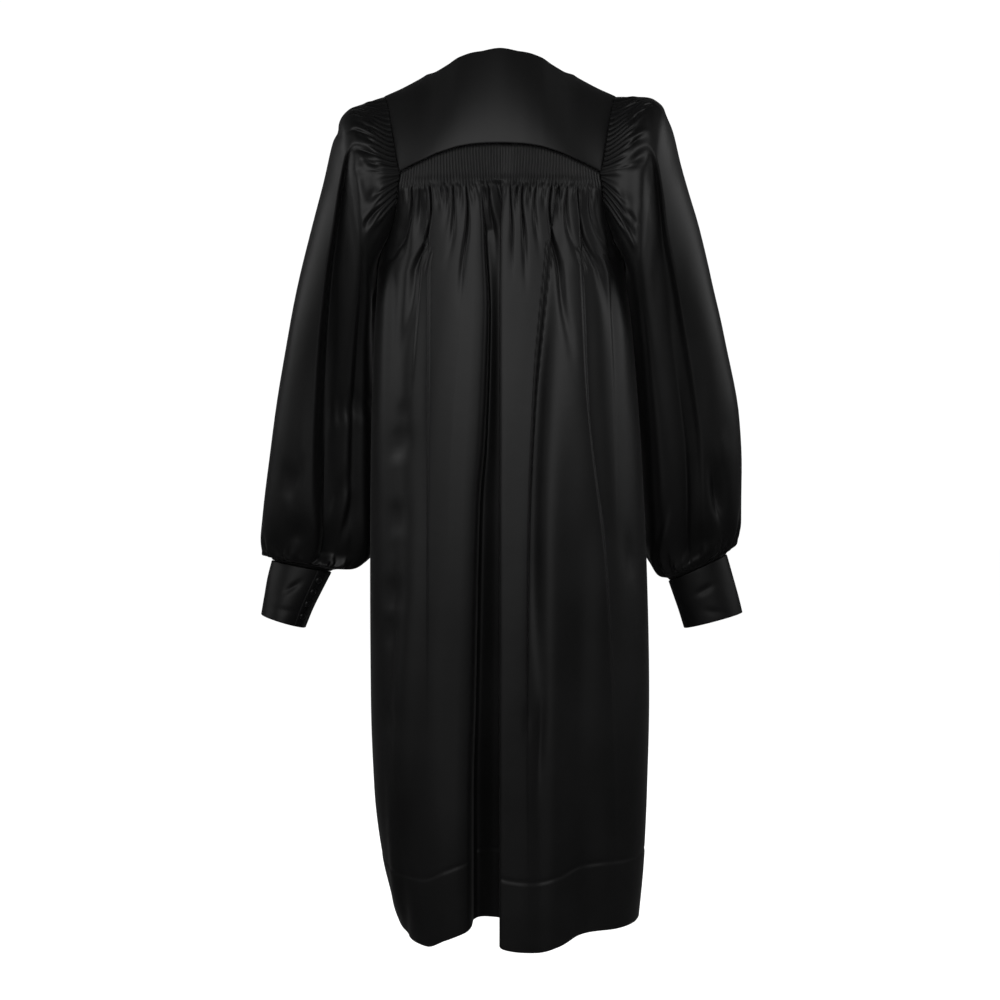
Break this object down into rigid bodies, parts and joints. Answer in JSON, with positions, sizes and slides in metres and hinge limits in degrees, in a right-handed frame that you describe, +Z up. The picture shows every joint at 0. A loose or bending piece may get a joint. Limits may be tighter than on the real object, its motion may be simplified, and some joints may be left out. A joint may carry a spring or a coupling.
{
  "type": "clergy robe",
  "caption": "Black satin clergy robe, filled out as worn: smooth yoke over a cartridge-pleated back, full gathered sleeves, deep buttoned cuffs and a deep hem.",
  "frame": {"origin": "on the centre line, at the height where the shoulders carry the robe beside the neck", "axes": "+Z up, +X to the wearer's left, -Y the way the wearer faces"},
  "size_m": [0.7131, 0.2809, 1.2581],
  "materials": {
    "satin": "black satin",
    "faced_satin": "interfaced black satin",
    "covered_button": "satin-covered button"
  },
  "bodies": {
    "root": {"yoke": "faced_satin", "back_left": "satin", "front_left": "satin", "sleeve_left": "satin", "cuff_left": "faced_satin", "cuff_left_button_1": "covered_button", "cuff_left_button_2": "covered_button", "cuff_left_button_3": "covered_button", "cuff_left_button_4": "covered_button", "back_right": "satin", "front_right": "satin", "sleeve_right": "satin", "cuff_right": "faced_satin", "cuff_right_button_1": "covered_button", "cuff_right_button_2": "covered_button", "cuff_right_button_3": "covered_button", "cuff_right_button_4": "covered_button"}
  },
  "joints": []
}
